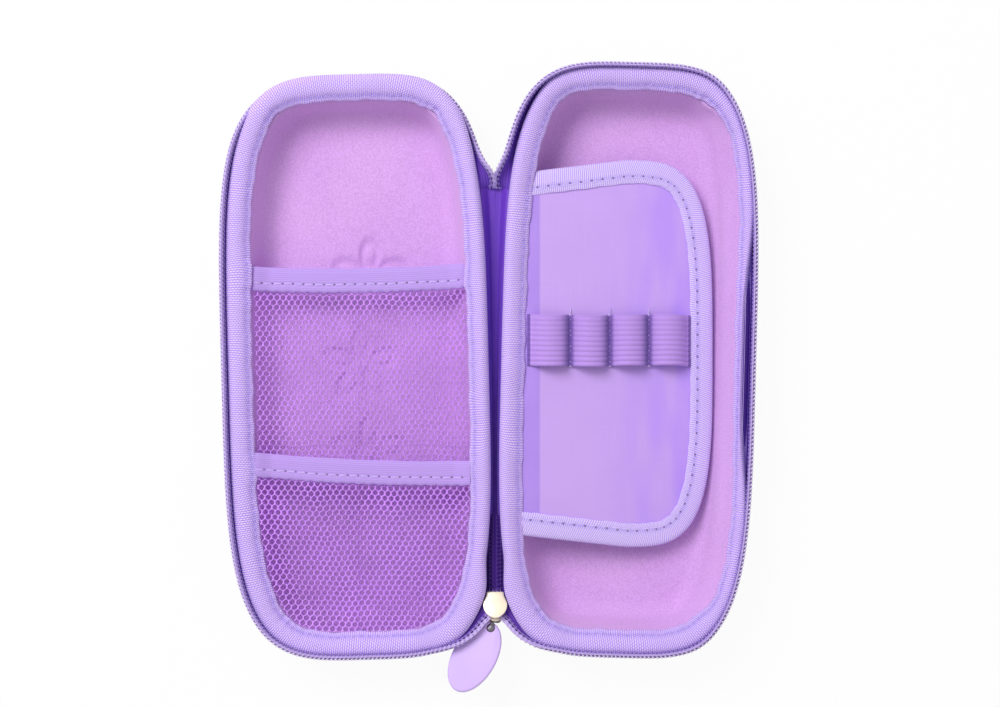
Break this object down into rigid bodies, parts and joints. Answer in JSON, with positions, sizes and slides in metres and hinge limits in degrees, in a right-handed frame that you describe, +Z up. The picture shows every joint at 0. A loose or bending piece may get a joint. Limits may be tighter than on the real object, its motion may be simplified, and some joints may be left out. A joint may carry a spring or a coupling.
{
  "type": "expandable pencil case",
  "caption": "Hard-shell pencil case, open flat: two moulded zip halves on a fabric spine, net pockets, a folding pen page with elastic loops and an oval puller.",
  "frame": {"origin": "under the middle of the whole open case, at the level it rests on", "axes": "+Y along the spine towards the end of the tray that has no pockets, +X from the spine across the back half that holds the pen page, +Z up out of the open trays"},
  "size_m": [0.2084, 0.2414, 0.0261],
  "materials": {
    "cover_fabric": "pale lilac coated fabric over moulded foam, smooth and slightly satin",
    "relief_rubber": "soft matte rubber relief",
    "lining_jersey": "smooth fine jersey, matte",
    "binding_grosgrain": "ribbed grosgrain binding, matte, stitched near its inner edge",
    "zip_tape": "woven zip tape, matte",
    "zip_coil": "nylon coil, semi-gloss",
    "hinge_nylon": "taut woven nylon, low sheen",
    "pocket_net": "open hexagonal polyester net",
    "pocket_hem": "folded elastic hem, matte",
    "page_board": "stiff board inside the page, unfinished",
    "page_satin": "smooth satin-faced nylon",
    "loop_elastic": "elastic webbing with fine lengthwise ribs",
    "seam_thread": "sewing thread",
    "slider_paint": "cream enamel on die-cast zinc, semi-gloss",
    "link_metal": "dark gunmetal plating",
    "puller_rubber": "soft matte rubber"
  },
  "bodies": {
    "back": {"back_shell": "cover_fabric", "back_lining": "lining_jersey", "back_binding": "binding_grosgrain", "back_zip_tape": "zip_tape", "back_zip_coil": "zip_coil"},
    "spine": {"hinge_strip": "hinge_nylon"},
    "front": {"front_shell": "cover_fabric", "cover_relief": "relief_rubber", "front_lining": "lining_jersey", "front_binding": "binding_grosgrain", "front_zip_tape": "zip_tape", "front_zip_coil": "zip_coil", "upper_pocket_net_base": "pocket_net"},
    "upper_pocket": {"upper_pocket_net": "pocket_net", "upper_pocket_hem": "pocket_hem"},
    "lower_pocket": {"lower_pocket_net": "pocket_net", "lower_pocket_hem": "pocket_hem"},
    "page": {"page_board": "page_board", "page_front_fabric": "page_satin", "page_back_fabric": "page_satin", "page_binding": "binding_grosgrain", "pen_loop_band": "loop_elastic", "pen_loop_seam_1": "seam_thread", "pen_loop_seam_2": "seam_thread", "pen_loop_seam_3": "seam_thread"},
    "slider": {"slider": "slider_paint"},
    "link": {"pull_link": "link_metal"},
    "puller": {"puller": "puller_rubber"}
  },
  "joints": [
    {"name": "spine_fold", "type": "hinge", "parent": "back", "child": "spine", "pos_m": [0.00727, 0, 0.0205], "axis": [0, 1, 0], "range_deg": [0, 90], "deforming": ["hinge_strip", "back_zip_tape", "back_zip_coil"]},
    {"name": "lid_fold", "type": "hinge", "parent": "spine", "child": "front", "pos_m": [-0.00413, 0, 0.0205], "axis": [0, 1, 0], "range_deg": [0, 90], "deforming": ["front_zip_tape", "front_zip_coil"]},
    {"name": "page_fold", "type": "hinge", "parent": "back", "child": "page", "pos_m": [0.01297, 0, 0.0215], "axis": [0, 1, 0], "range_deg": [-124, 0]},
    {"name": "upper_pocket_open", "type": "hinge", "parent": "front", "child": "upper_pocket", "pos_m": [-0.04843, -0.02616, 0.0171], "axis": [-1, 0, 0], "range_deg": [-16, 0], "stiffness_Nm_per_rad": 0.1},
    {"name": "lower_pocket_open", "type": "hinge", "parent": "front", "child": "lower_pocket", "pos_m": [-0.04843, -0.09746, 0.0189], "axis": [-1, 0, 0], "range_deg": [-10, 0], "stiffness_Nm_per_rad": 0.05},
    {"name": "slider_slide", "type": "slide", "parent": "spine", "child": "slider", "axis": [0, -0.9033, 0.4289], "range_m": [-0.008, 0]},
    {"name": "link_swing", "type": "hinge", "parent": "slider", "child": "link", "pos_m": [0.00164, -0.09083, 0.01682], "axis": [-0.9659, 0.2338, -0.111], "range_deg": [-30, 10]},
    {"name": "puller_swing", "type": "hinge", "parent": "link", "child": "puller", "pos_m": [-0.00001, -0.0969, 0.01845], "axis": [0.0449, -0.2709, -0.9616], "range_deg": [-30, 0]}
  ],
  "couplings": [
    {"joint": "lid_fold", "follows": "spine_fold", "ratio": 1}
  ]
}
